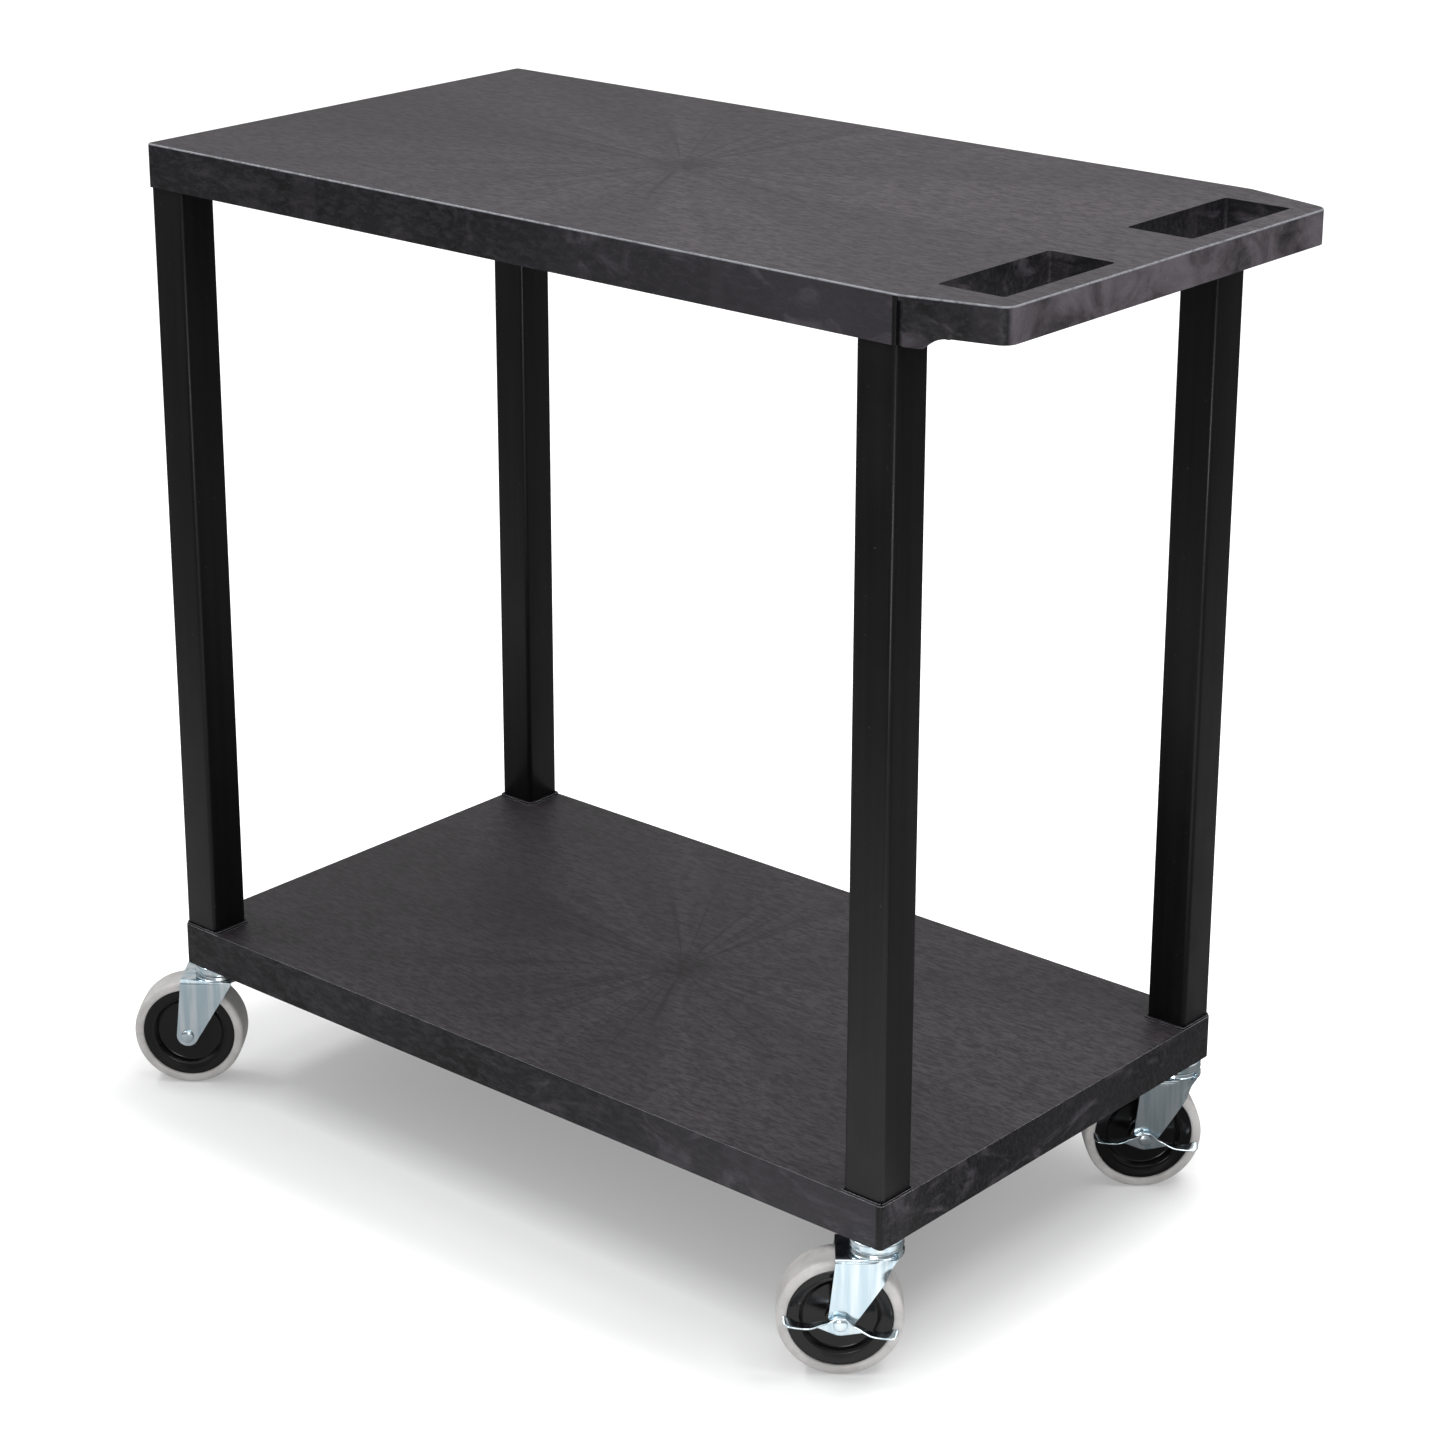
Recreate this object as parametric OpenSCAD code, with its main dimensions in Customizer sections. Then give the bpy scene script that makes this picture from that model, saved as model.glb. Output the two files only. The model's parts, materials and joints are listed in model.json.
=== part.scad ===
// Two-shelf rolling utility cart. A moulded deck with a built-in push handle and a moulded
// lower shelf are joined by four square legs, and stand on four stem casters, two braked.
// Millimetres. +X points to the handle end, +Z is up, and the floor is z = 0.
// The origin is on the floor, under the middle of the whole cart's outline.

/* [Shelves] */
// Length of each shelf, without the handle
shelf_l = 812.8; // [700:0.1:1000]
// Width of each shelf
shelf_w = 457.2; // [440:0.1:600]
// Depth of the skirt round each shelf
skirt_h = 38.1; // [36:0.1:45]
// Height from the lower shelf's top to the deck's top
deck_rise = 726.1; // [500:0.1:900]
// Thickness of the shelf tops and skirts
wall = 4.5; // [4:0.5:5]
// Radius of the shelves' upright corners
corner_r = 4; // [2:0.5:6]
// Depth of the ribs under the shelf tops
rib_h = 18; // [14:1:24]
// Thickness of the ribs
rib_t = 3; // [2:0.5:4]

/* [Handle] */
// How far the handle stands out past the shelf's end
handle_l = 82.55; // [76:0.05:90]
// Width of the handle at its outer end
handle_w = 416; // [405:1:430]
// Depth of the handle's outer bar
handle_h = 28.4; // [26:0.1:32]
// Radius of the handle's outer corners
handle_r = 12; // [8:1:18]
// Length of each hand hole along the cart
hole_l = 60; // [55:1:62]
// Nearest and farthest sides of each hand hole from the middle
hole_near = 50; // [40:1:60]
hole_far = 187; // [175:1:188]
// Radius of the hand holes' corners
hole_r = 3; // [2:1:8]

/* [Legs] */
// Side of each square leg
leg_s = 38.1; // [36:0.1:40]
// Radius of the legs' long edges
leg_r = 4; // [2:0.5:6]
// Wall thickness of the legs
leg_wall = 3; // [2.5:0.5:3.5]
// Gap between a leg and the shelf's edge
leg_inset = 1.5; // [1:0.5:3]
// Side of the spigots at the legs' ends
spigot_s = 30; // [28:0.5:31]
// Length of the spigots
spigot_l = 30; // [26:0.5:30]

/* [Casters] */
// Radius of the wheels
wheel_r = 50.8; // [49:0.1:51]
// Width of the tyres
tyre_w = 32; // [28:1:32]
// Height from the floor to the underside of the lower shelf
caster_h = 117.8; // [117:0.1:122]
// How far each wheel trails behind its swivel axis
trail = 28; // [26:0.5:30]
// Radius of the swivel raceway
race_r = 22; // [21:0.5:23]
// Thickness of the fork's sheet steel
sheet = 3; // [2.5:0.5:3]
// Direction of each caster about its stem, in the order of CORNERS
headings = [38, 41, 40, 44];

/* [Brakes] */
// Half the length of a brake pedal
pedal_half = 46; // [40:1:48]
// How far a pedal's ledge stands out from its plate
pedal_out = 11; // [8:1:14]
// Tilt of the released pedal, forward end down
pedal_tilt = 7; // [4:1:10]

/* [Hidden] */
$fn = 64;
CORNERS = ["front_left", "front_right", "rear_left", "rear_right"];
BRAKED = [2, 3];
CORNER_PARTS = ["leg", "stem_socket", "caster_stem", "raceway_cap", "ball_ring", "fork",
                "axle_bolt", "axle_nut", "axle_sleeve", "hub", "tyre"];
BRAKE_PARTS = ["brake_pedal", "friction_disc"];

plastic = "#4b4b4d";
black = "#232325";
zinc = "#b9c6cf";
rubber = "#9a9694";

eps = 1;                                     // cutters run this far past a face
play = 0.05;                                 // radial running clearance
slack = 0.2;                                 // clearance round pushed-together pieces
shelf_bottom = caster_h;
shelf_top = shelf_bottom + skirt_h;
deck_top = shelf_top + deck_rise;
leg_pos = [shelf_l / 2 - leg_inset - leg_s / 2, shelf_w / 2 - leg_inset - leg_s / 2];
post_s = leg_s + leg_inset + wall / 2;       // side of the solid corner posts
sides = [-1, 1];

// Handle outline: each long side leans in towards the end by this angle
taper = atan((shelf_w - handle_w) / 2 / handle_l);
handle_end = shelf_l / 2 + handle_l;
hole_start = shelf_l / 2 + 2;
arch_start = 17.7;                           // past the shelf's end, where the skirt rises
arch_end = 39.5;                             // where it reaches the bar's depth
groove_w = 6;
groove_depth = 3;

// Support bars and their screws
cross_ribs = 4;                              // cross ribs each side of the middle one
bar_w = 25.4;
bar_h = 12.7;
bar_l = shelf_l - 4 * post_s;
bar_y = shelf_w / 4;
bar_wall = 2;
screw_r = 2.4;
screw_head_r = 4.6;
screw_head_h = 3;
bite = 3;                                    // how far a screw reaches into the shelf's top
foot_rim = 3;
foot_rim_h = 2;

// Caster levels, measured down from the shelf's underside
axle_drop = caster_h - wheel_r;
cap_h = 7;
cap_t = 1.7;
seat_top = cap_h + 0.8;
crown_top = 11.5;
crown_bottom = crown_top + sheet;
stem_r = 6.35;
stem_l = 36;
kingpin_r = 5;
rivet_r = 8;
rivet_h = 3;
ball_r = 2.3;
ball_path = 17;
ball_count = 16;

// Stations along an axle, from the middle of the wheel
leg_gap = 19.5;
leg_face = leg_gap + sheet;
bolt_r = 4;
head_r = 6.2;
head_h = 3;
nut_r = 7.5;
nut_h = 6;
sleeve_r = 6.5;
hub_core = 18;
hub_core_r = 11;
hub_r = 42.3;
web_r = 30;
web_face = 9;
rim_face = 14.5;
shoulder_r = 4;
fork_end_r = 9.8;
fork_back = -trail - 4.5;
fork_front = 14.2;
plate_t = 2;
plate_gap = 0.3;
pedal_face = leg_face + plate_gap + plate_t;
pedal_low = -10.4;                           // lower tip of the pedal's diamond plate
pedal_wide = 30;                             // half the diamond's length
ledge_low = -2.8;
ear_h = 5;
hump_h = 7.6;

// Reach of the outline past the shelves, which sets the origin
function tyre_reach(along, across) =
    (wheel_r - shoulder_r) * abs(along) + (tyre_w / 2 - shoulder_r) * abs(across) + shoulder_r;
front_reach = max([for (i = [0, 1])
    trail * cos(headings[i]) + tyre_reach(cos(headings[i]), sin(headings[i]))]);
pedal_tip = [pedal_half * cos(pedal_tilt) - ledge_low * sin(pedal_tilt), pedal_face + pedal_out];
left_reach = (trail + pedal_tip.x) * sin(headings[2]) + pedal_tip.y * cos(headings[2]);
right_reach = max([for (i = [1, 3])
    fork_front * sin(headings[i]) + leg_face * cos(headings[i])]);
origin_x = (handle_end - leg_pos.x - front_reach) / 2;
origin_y = (right_reach - left_reach) / 2;

// A square with round corners, centred
module soft_square(size, r) {
    square([size.x - 2 * r, size.y], center = true);
    square([size.x, size.y - 2 * r], center = true);
    for (sx = sides) {
        for (sy = sides) {
            translate([sx * (size.x / 2 - r), sy * (size.y / 2 - r)]) circle(r);
        }
    }
}

module at_legs() {
    for (sx = sides) {
        for (sy = sides) {
            translate([sx * leg_pos.x, sy * leg_pos.y]) children();
        }
    }
}

module at_posts() {
    offset_x = shelf_l / 2 - post_s / 2;
    offset_y = shelf_w / 2 - post_s / 2;
    for (sx = sides) {
        for (sy = sides) {
            translate([sx * offset_x, sy * offset_y]) children();
        }
    }
}

module rib_grid() {
    for (i = [-cross_ribs:cross_ribs]) {
        translate([i * shelf_l / (2 * cross_ribs + 2), 0]) square([rib_t, shelf_w], center = true);
    }
    for (i = [-1:1]) {
        translate([0, i * shelf_w / 8]) square([shelf_l, rib_t], center = true);
    }
}

// The hollow under a shelf whose top is at z = 0, with ribs left standing round the bars
module underside() {
    difference() {
        translate([0, 0, -skirt_h - eps]) linear_extrude(skirt_h + eps - wall) difference() {
            square([shelf_l - 2 * wall, shelf_w - 2 * wall], center = true);
            at_posts() square(post_s + eps, center = true);
        }
        difference() {
            translate([0, 0, -wall - rib_h]) linear_extrude(rib_h + eps) rib_grid();
            for (sy = sides) {
                translate([0, sy * bar_y, -wall - bar_h / 2])
                    cube([bar_l + 2 * slack, bar_w + 2 * slack, bar_h + 2 * rib_h], center = true);
            }
        }
    }
    at_bar_screws() translate([0, 0, -wall - eps]) cylinder(r = screw_r + play, h = eps + bite + play);
}

// The outline of the deck with its handle, drawn in by inset
module deck_outline(inset = 0) {
    tip_y = handle_w / 2 - handle_r * (1 / cos(taper) - tan(taper));
    tip = [handle_end - handle_r, tip_y];
    round_r = handle_r - inset;
    half_w = shelf_w / 2 - inset;
    bend_x = shelf_l / 2 - inset * tan(taper / 2);
    back_x = -shelf_l / 2 + inset;
    edge = round_r * [sin(taper), cos(taper)];
    polygon([
        [back_x + corner_r, -half_w], [bend_x, -half_w], [tip.x + edge.x, -tip.y - edge.y],
        [handle_end - inset, -tip.y], [handle_end - inset, tip.y], [tip.x + edge.x, tip.y + edge.y],
        [bend_x, half_w], [back_x + corner_r, half_w],
        [back_x, half_w - corner_r], [back_x, -half_w + corner_r]
    ]);
    for (sy = sides) {
        translate([tip.x, sy * tip.y]) circle(round_r);
        translate([back_x + corner_r, sy * (half_w - corner_r)]) circle(corner_r);
    }
}

module hand_holes(grow = 0) {
    for (sy = sides) {
        translate([hole_start + hole_l / 2, sy * (hole_near + hole_far) / 2])
            soft_square([hole_l + 2 * grow, hole_far - hole_near + 2 * grow], hole_r);
    }
}

// What rises under the handle: an arch from the skirt's depth up to the bar's, then level
module handle_arch() {
    run = arch_end - arch_start;
    rise = skirt_h - handle_h;
    arch_r = (run * run + rise * rise) / (2 * rise);
    translate([shelf_l / 2 + arch_end, shelf_w / 2 + eps, -handle_h]) rotate([90, 0, 0])
        linear_extrude(shelf_w + 2 * eps) {
            translate([0, -arch_r]) circle(arch_r);
            translate([0, -skirt_h]) square([handle_l, skirt_h]);
        }
}

// The open channel under the handle's bars
module handle_channel() {
    translate([0, 0, -skirt_h - eps]) linear_extrude(skirt_h + eps - wall) difference() {
        intersection() {
            deck_outline(wall);
            translate([hole_start, -shelf_w / 2]) square([handle_l, shelf_w]);
        }
        hand_holes(wall);
    }
}

module skirt_grooves() {
    for (sy = sides) {
        translate([shelf_l / 2 - groove_w / 2, sy * (shelf_w / 2) - groove_depth, -skirt_h - eps])
            cube([groove_w, 2 * groove_depth, skirt_h + eps - wall]);
    }
}

module spigot_socket() {
    linear_extrude(spigot_l + slack + eps)
        soft_square([spigot_s + 2 * slack, spigot_s + 2 * slack], leg_r / 2);
}

// Deck: flat top, skirt, ribs, handle with two hand holes, and a socket over each leg
module top_deck() color(plastic) translate([0, 0, deck_top]) difference() {
    translate([0, 0, -skirt_h]) linear_extrude(skirt_h) deck_outline();
    underside();
    handle_channel();
    handle_arch();
    skirt_grooves();
    translate([0, 0, -skirt_h - eps]) linear_extrude(skirt_h + 2 * eps) hand_holes();
    at_legs() translate([0, 0, -skirt_h - eps]) spigot_socket();
}

// Lower shelf: flat top, skirt, ribs, a rimmed socket under each leg and a hole for each stem
module lower_shelf() color(plastic) translate([0, 0, shelf_top]) difference() {
    union() {
        translate([0, 0, -skirt_h]) linear_extrude(skirt_h) soft_square([shelf_l, shelf_w], corner_r);
        translate([0, 0, -eps]) linear_extrude(foot_rim_h + eps) intersection() {
            at_legs() soft_square([leg_s + 2 * foot_rim, leg_s + 2 * foot_rim], leg_r + foot_rim);
            soft_square([shelf_l - 1, shelf_w - 1], corner_r);
        }
    }
    underside();
    at_legs() translate([0, 0, -spigot_l - slack]) spigot_socket();
    at_legs() linear_extrude(foot_rim_h + eps) square(leg_s + 2 * slack, center = true);
    at_legs() translate([0, 0, -skirt_h - eps]) cylinder(r = stem_r + slack, h = skirt_h);
}

// Leg: square tube with a narrower spigot at each end
module leg() color(black) difference() {
    union() {
        translate([0, 0, shelf_top]) linear_extrude(deck_rise - skirt_h)
            soft_square([leg_s, leg_s], leg_r);
        translate([0, 0, shelf_top - spigot_l]) linear_extrude(deck_rise - skirt_h + 2 * spigot_l)
            soft_square([spigot_s, spigot_s], leg_r / 2);
    }
    translate([0, 0, shelf_top - spigot_l - eps])
        linear_extrude(deck_rise - skirt_h + 2 * (spigot_l + eps))
            square(spigot_s - 2 * leg_wall, center = true);
    translate([0, 0, shelf_top + spigot_s / 4]) linear_extrude(deck_rise - skirt_h - spigot_s / 2)
        square(leg_s - 2 * leg_wall, center = true);
}

// Block pushed into the foot of a leg, which grips the caster's stem
module stem_socket() color(zinc) translate([0, 0, shelf_top - spigot_l]) difference() {
    side = spigot_s - 2 * leg_wall - slack;
    linear_extrude(spigot_l - eps) square(side, center = true);
    translate([0, 0, -eps]) cylinder(r = stem_r + play, h = spigot_l + eps);
}

module at_bar_screws() {
    for (sx = sides) {
        for (sy = sides) {
            translate([sx * (bar_l / 2 - bar_w), sy * bar_y]) children();
        }
    }
}

// Two steel tubes that stiffen a shelf whose top is at z = 0
module support_bars() {
    for (sy = sides) {
        translate([-bar_l / 2, sy * bar_y - bar_w / 2, -wall - bar_h]) difference() {
            cube([bar_l, bar_w, bar_h]);
            translate([-eps, bar_wall, bar_wall])
                cube([bar_l + 2 * eps, bar_w - 2 * bar_wall, bar_h - 2 * bar_wall]);
            for (x = [bar_w, bar_l - bar_w]) {
                translate([x, bar_w / 2, -eps]) cylinder(r = screw_r + play, h = bar_h + 2 * eps);
            }
        }
    }
}

module deck_bars() color(zinc) translate([0, 0, deck_top]) support_bars();

module shelf_bars() color(zinc) translate([0, 0, shelf_top]) support_bars();

module bar_screws() color(zinc) {
    for (top = [deck_top, shelf_top]) {
        translate([0, 0, top - wall - bar_h]) at_bar_screws() {
            cylinder(r = screw_r, h = bar_h + bite);
            translate([0, 0, -screw_head_h]) cylinder(r = screw_head_r, h = screw_head_h);
        }
    }
}

// Caster pieces: z = 0 is the shelf's underside, +X is the heading, the wheel trails behind

// Threaded stem, with the riveted kingpin that the fork turns on
module caster_stem() color(zinc) {
    cylinder(r = stem_r - 1, h = stem_l);
    cylinder(r = stem_r, h = stem_l - 2);
    translate([0, 0, -seat_top - sheet - rivet_h]) cylinder(r = kingpin_r, h = seat_top + sheet + rivet_h);
    translate([0, 0, -seat_top - sheet - play - rivet_h]) cylinder(r = rivet_r, h = rivet_h);
}

// Upper half of the raceway, fixed under the shelf
module raceway_cap() color(zinc) difference() {
    translate([0, 0, -cap_h]) cylinder(r = race_r, h = cap_h);
    translate([0, 0, -cap_h - eps]) cylinder(r = race_r - cap_t, h = cap_h + eps - cap_t);
    translate([0, 0, -cap_h]) cylinder(r = kingpin_r + play, h = cap_h + eps);
}

module ball_ring() color(zinc) {
    for (i = [1:ball_count]) {
        rotate([0, 0, i * 360 / ball_count]) translate([ball_path, 0, -seat_top + ball_r + 0.2])
            sphere(ball_r);
    }
}

// The plates' leading and trailing edges run straight into the round end
module leg_plate_outline() {
    front = [fork_front + trail, axle_drop - crown_top];
    back = [fork_back + trail, axle_drop - crown_top];
    front_a = atan2(front.y, front.x) - acos(fork_end_r / norm(front));
    back_a = atan2(back.y, back.x) + acos(fork_end_r / norm(back));
    polygon([
        [fork_back, -crown_top], [fork_front, -crown_top],
        [-trail + fork_end_r * cos(front_a), -axle_drop + fork_end_r * sin(front_a)],
        [-trail, -axle_drop],
        [-trail + fork_end_r * cos(back_a), -axle_drop + fork_end_r * sin(back_a)]
    ]);
    translate([-trail, -axle_drop]) circle(fork_end_r);
}

// Fork: raised ball seat, flat crown and two plates that carry the axle
module fork() color(zinc) difference() {
    union() {
        translate([0, 0, -crown_bottom]) cylinder(r = race_r, h = crown_bottom - seat_top);
        translate([0, 0, -crown_bottom]) linear_extrude(sheet) {
            circle(race_r + 0.5);
            translate([fork_back, -leg_face]) square([fork_front - fork_back, 2 * leg_face]);
        }
        for (y = [-leg_gap, leg_face]) {
            translate([0, y, 0]) rotate([90, 0, 0]) linear_extrude(sheet) leg_plate_outline();
        }
    }
    translate([0, 0, -crown_bottom - eps])
        cylinder(r = race_r - sheet, h = crown_bottom + eps - seat_top - sheet);
    translate([0, 0, -crown_bottom - eps]) cylinder(r = kingpin_r + play, h = crown_bottom);
    on_axle() translate([0, 0, -leg_face - eps]) cylinder(r = bolt_r + play, h = 2 * (leg_face + eps));
}

// Children are drawn with z = 0 at the wheel's middle, +z outward on the cart's left side
module on_axle() {
    translate([-trail, 0, -axle_drop]) rotate([90, 0, 0]) children();
}

// Axle bolt: a braked caster's bolt is longer by the pedal's plate
module axle_bolt(braked) color(zinc) on_axle() {
    seat = leg_face + play + (braked ? plate_gap + plate_t + play : 0);
    tail = leg_face + nut_h + 1;
    translate([0, 0, -tail]) cylinder(r = bolt_r, h = tail + seat);
    translate([0, 0, seat]) cylinder(r1 = head_r, r2 = head_r - 1.5, h = head_h);
}

module axle_nut() color(zinc) on_axle() translate([0, 0, -leg_face - nut_h]) difference() {
    cylinder(r = nut_r, h = nut_h, $fn = 6);
    translate([0, 0, -eps]) cylinder(r = bolt_r + play, h = nut_h + 2 * eps);
}

module axle_sleeve() color(zinc) on_axle() difference() {
    half = leg_gap - slack;
    translate([0, 0, -half]) cylinder(r = sleeve_r, h = 2 * half);
    translate([0, 0, -half - eps]) cylinder(r = bolt_r + play, h = 2 * (half + eps));
}

// Wheel centre: bored core, thin web and a deep rim
module hub() color(black) on_axle() {
    half = [[sleeve_r + play, hub_core], [hub_core_r, hub_core], [hub_core_r + 1.5, web_face],
            [web_r, web_face], [web_r + 3, rim_face - 1], [hub_r, rim_face]];
    mirrored = [for (i = [len(half) - 1:-1:0]) [half[i].x, -half[i].y]];
    rotate_extrude() polygon(concat(half, mirrored));
}

// Soft tread with round shoulders
module tyre() color(rubber) on_axle() {
    half_w = tyre_w / 2;
    shoulder = [for (a = [90:-15:0])
        [wheel_r - shoulder_r * (1 - cos(a)), half_w - shoulder_r * (1 - sin(a))]];
    half = concat([[hub_r + play, half_w - 1]], shoulder);
    mirrored = [for (i = [len(half) - 1:-1:0]) [half[i].x, -half[i].y]];
    rotate_extrude() polygon(concat(half, mirrored));
}

// Rocker on the axle: a diamond plate with a ledge along its top, and an ear at each end
module brake_pedal() color(zinc) on_axle() rotate([0, 0, -pedal_tilt]) difference() {
    top = ledge_low + plate_t;
    union() {
        translate([0, 0, leg_face + plate_gap]) linear_extrude(plate_t) {
            polygon([[-pedal_wide, top], [-pedal_wide, ledge_low], [0, pedal_low],
                     [pedal_wide, ledge_low], [pedal_wide, top], [8, top],
                     [2, hump_h], [-2, hump_h], [-8, top]]);
        }
        translate([0, 0, leg_face + plate_gap]) linear_extrude(plate_t + pedal_out) {
            for (sx = sides) {
                polygon([[sx * 8, ledge_low], [sx * pedal_half, ledge_low],
                         [sx * pedal_half, top + ear_h], [sx * (pedal_half - plate_t), top + ear_h],
                         [sx * (pedal_half - plate_t), top], [sx * 8, top]]);
            }
        }
    }
    cylinder(r = bolt_r + play, h = 2 * leg_face);
}

// Thin disc between fork and wheel, squeezed when the pedal is pressed
module friction_disc() color(black) on_axle() translate([0, 0, hub_core + 0.3]) difference() {
    disc_t = leg_gap - hub_core - 0.4;
    cylinder(r = hub_core_r + 1, h = disc_t);
    translate([0, 0, -eps]) cylinder(r = sleeve_r + play, h = disc_t + 2 * eps);
}

// Stands a leg piece in its corner
module at_corner(i) {
    translate([(i < 2 ? -1 : 1) * leg_pos.x, (i % 2 == 0 ? -1 : 1) * leg_pos.y]) children();
}

// Stands a caster piece in its corner, turned to its heading
module at_caster(i) {
    at_corner(i) translate([0, 0, shelf_bottom]) rotate([0, 0, headings[i]]) children();
}

translate([-origin_x, -origin_y, 0]) {
    top_deck();
    lower_shelf();
    deck_bars();
    shelf_bars();
    bar_screws();
    for (i = [0:3]) {
        at_corner(i) leg();
        at_corner(i) stem_socket();
        at_caster(i) caster_stem();
        at_caster(i) raceway_cap();
        at_caster(i) ball_ring();
        at_caster(i) fork();
        at_caster(i) axle_bolt(i > 1);
        at_caster(i) axle_nut();
        at_caster(i) axle_sleeve();
        at_caster(i) hub();
        at_caster(i) tyre();
    }
    for (i = BRAKED) {
        at_caster(i) brake_pedal();
        at_caster(i) friction_disc();
    }
}
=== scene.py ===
"""Rolling utility cart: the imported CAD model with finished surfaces, in metres."""
import json
import math

import bmesh
import bpy
from mathutils import Matrix, Vector


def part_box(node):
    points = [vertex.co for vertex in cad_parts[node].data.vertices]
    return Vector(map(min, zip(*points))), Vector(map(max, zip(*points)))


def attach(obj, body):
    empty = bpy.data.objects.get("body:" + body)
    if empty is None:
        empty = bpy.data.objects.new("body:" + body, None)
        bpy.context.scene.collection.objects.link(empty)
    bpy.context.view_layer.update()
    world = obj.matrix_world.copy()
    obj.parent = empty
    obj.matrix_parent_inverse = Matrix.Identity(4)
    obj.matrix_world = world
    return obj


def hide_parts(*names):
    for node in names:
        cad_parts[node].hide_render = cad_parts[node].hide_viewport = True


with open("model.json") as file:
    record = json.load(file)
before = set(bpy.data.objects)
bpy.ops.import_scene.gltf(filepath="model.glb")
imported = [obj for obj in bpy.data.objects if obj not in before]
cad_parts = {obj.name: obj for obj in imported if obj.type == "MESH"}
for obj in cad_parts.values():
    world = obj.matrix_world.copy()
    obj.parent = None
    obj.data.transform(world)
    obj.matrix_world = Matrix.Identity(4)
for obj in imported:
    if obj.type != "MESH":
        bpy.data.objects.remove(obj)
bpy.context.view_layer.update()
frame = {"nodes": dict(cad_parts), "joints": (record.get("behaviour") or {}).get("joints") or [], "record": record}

MM = 0.001
CORNERS = ("front_left", "front_right", "rear_left", "rear_right")
BRAKED = ("rear_left", "rear_right")
JOINTS = {joint["name"]: joint for joint in frame["joints"]}
RECORD = frame["record"]


# ---------------------------------------------------------------- places from the frame

def middle(low, high):
    return (Vector(low) + Vector(high)) / 2


shelf_low, shelf_high = (Vector(corner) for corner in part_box("lower_shelf"))
shelf_centre = middle(shelf_low, shelf_high)
BELOW_CART = Vector((shelf_centre.x, shelf_centre.y, 0))
SHELF_END = shelf_high.x
LEG_COLLAR = 2 * MM                         # the lip round each leg's foot, above the shelf's top
SHELF_TOP = shelf_high.z - LEG_COLLAR
HANDLE_END, DECK_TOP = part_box("top_deck")[1][0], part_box("top_deck")[1][2]
SEAM_HALF = 2.6 * MM                        # half the width of the painted shade line down the skirt's groove beside the handle
SEAM = SHELF_END - 3 * MM


class Caster:
    """Where one caster's pieces go: its stem point, wheel centre, heading and axle."""

    def __init__(self, corner):
        self.corner = corner
        swivel = JOINTS["swivel_turn_" + corner]
        spin = JOINTS["wheel_spin_" + corner]
        self.stem = Vector(swivel["pos_m"])
        self.wheel = Vector(spin["pos_m"])
        self.axle = Vector(spin["axis"]).normalized()
        self.heading = Vector((-self.axle.y, self.axle.x, 0))
        self.trail = (self.stem - self.wheel).dot(self.heading)
        self.drop = self.stem.z - self.wheel.z

    def at_stem(self):
        """Local +X is the heading, +Y points inward along the axle, +Z is up."""
        turn = Matrix((self.heading, -self.axle, Vector((0, 0, 1)))).transposed()
        return Matrix.Translation(self.stem) @ turn.to_4x4()

    def at_axle(self):
        """Local +Z runs out along the axle, +X is the heading and +Y is up."""
        turn = Matrix((self.heading, Vector((0, 0, 1)), self.axle)).transposed()
        return Matrix.Translation(self.wheel) @ turn.to_4x4()


CASTERS = [Caster(corner) for corner in CORNERS]


# ---------------------------------------------------------------- shader helpers

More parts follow.
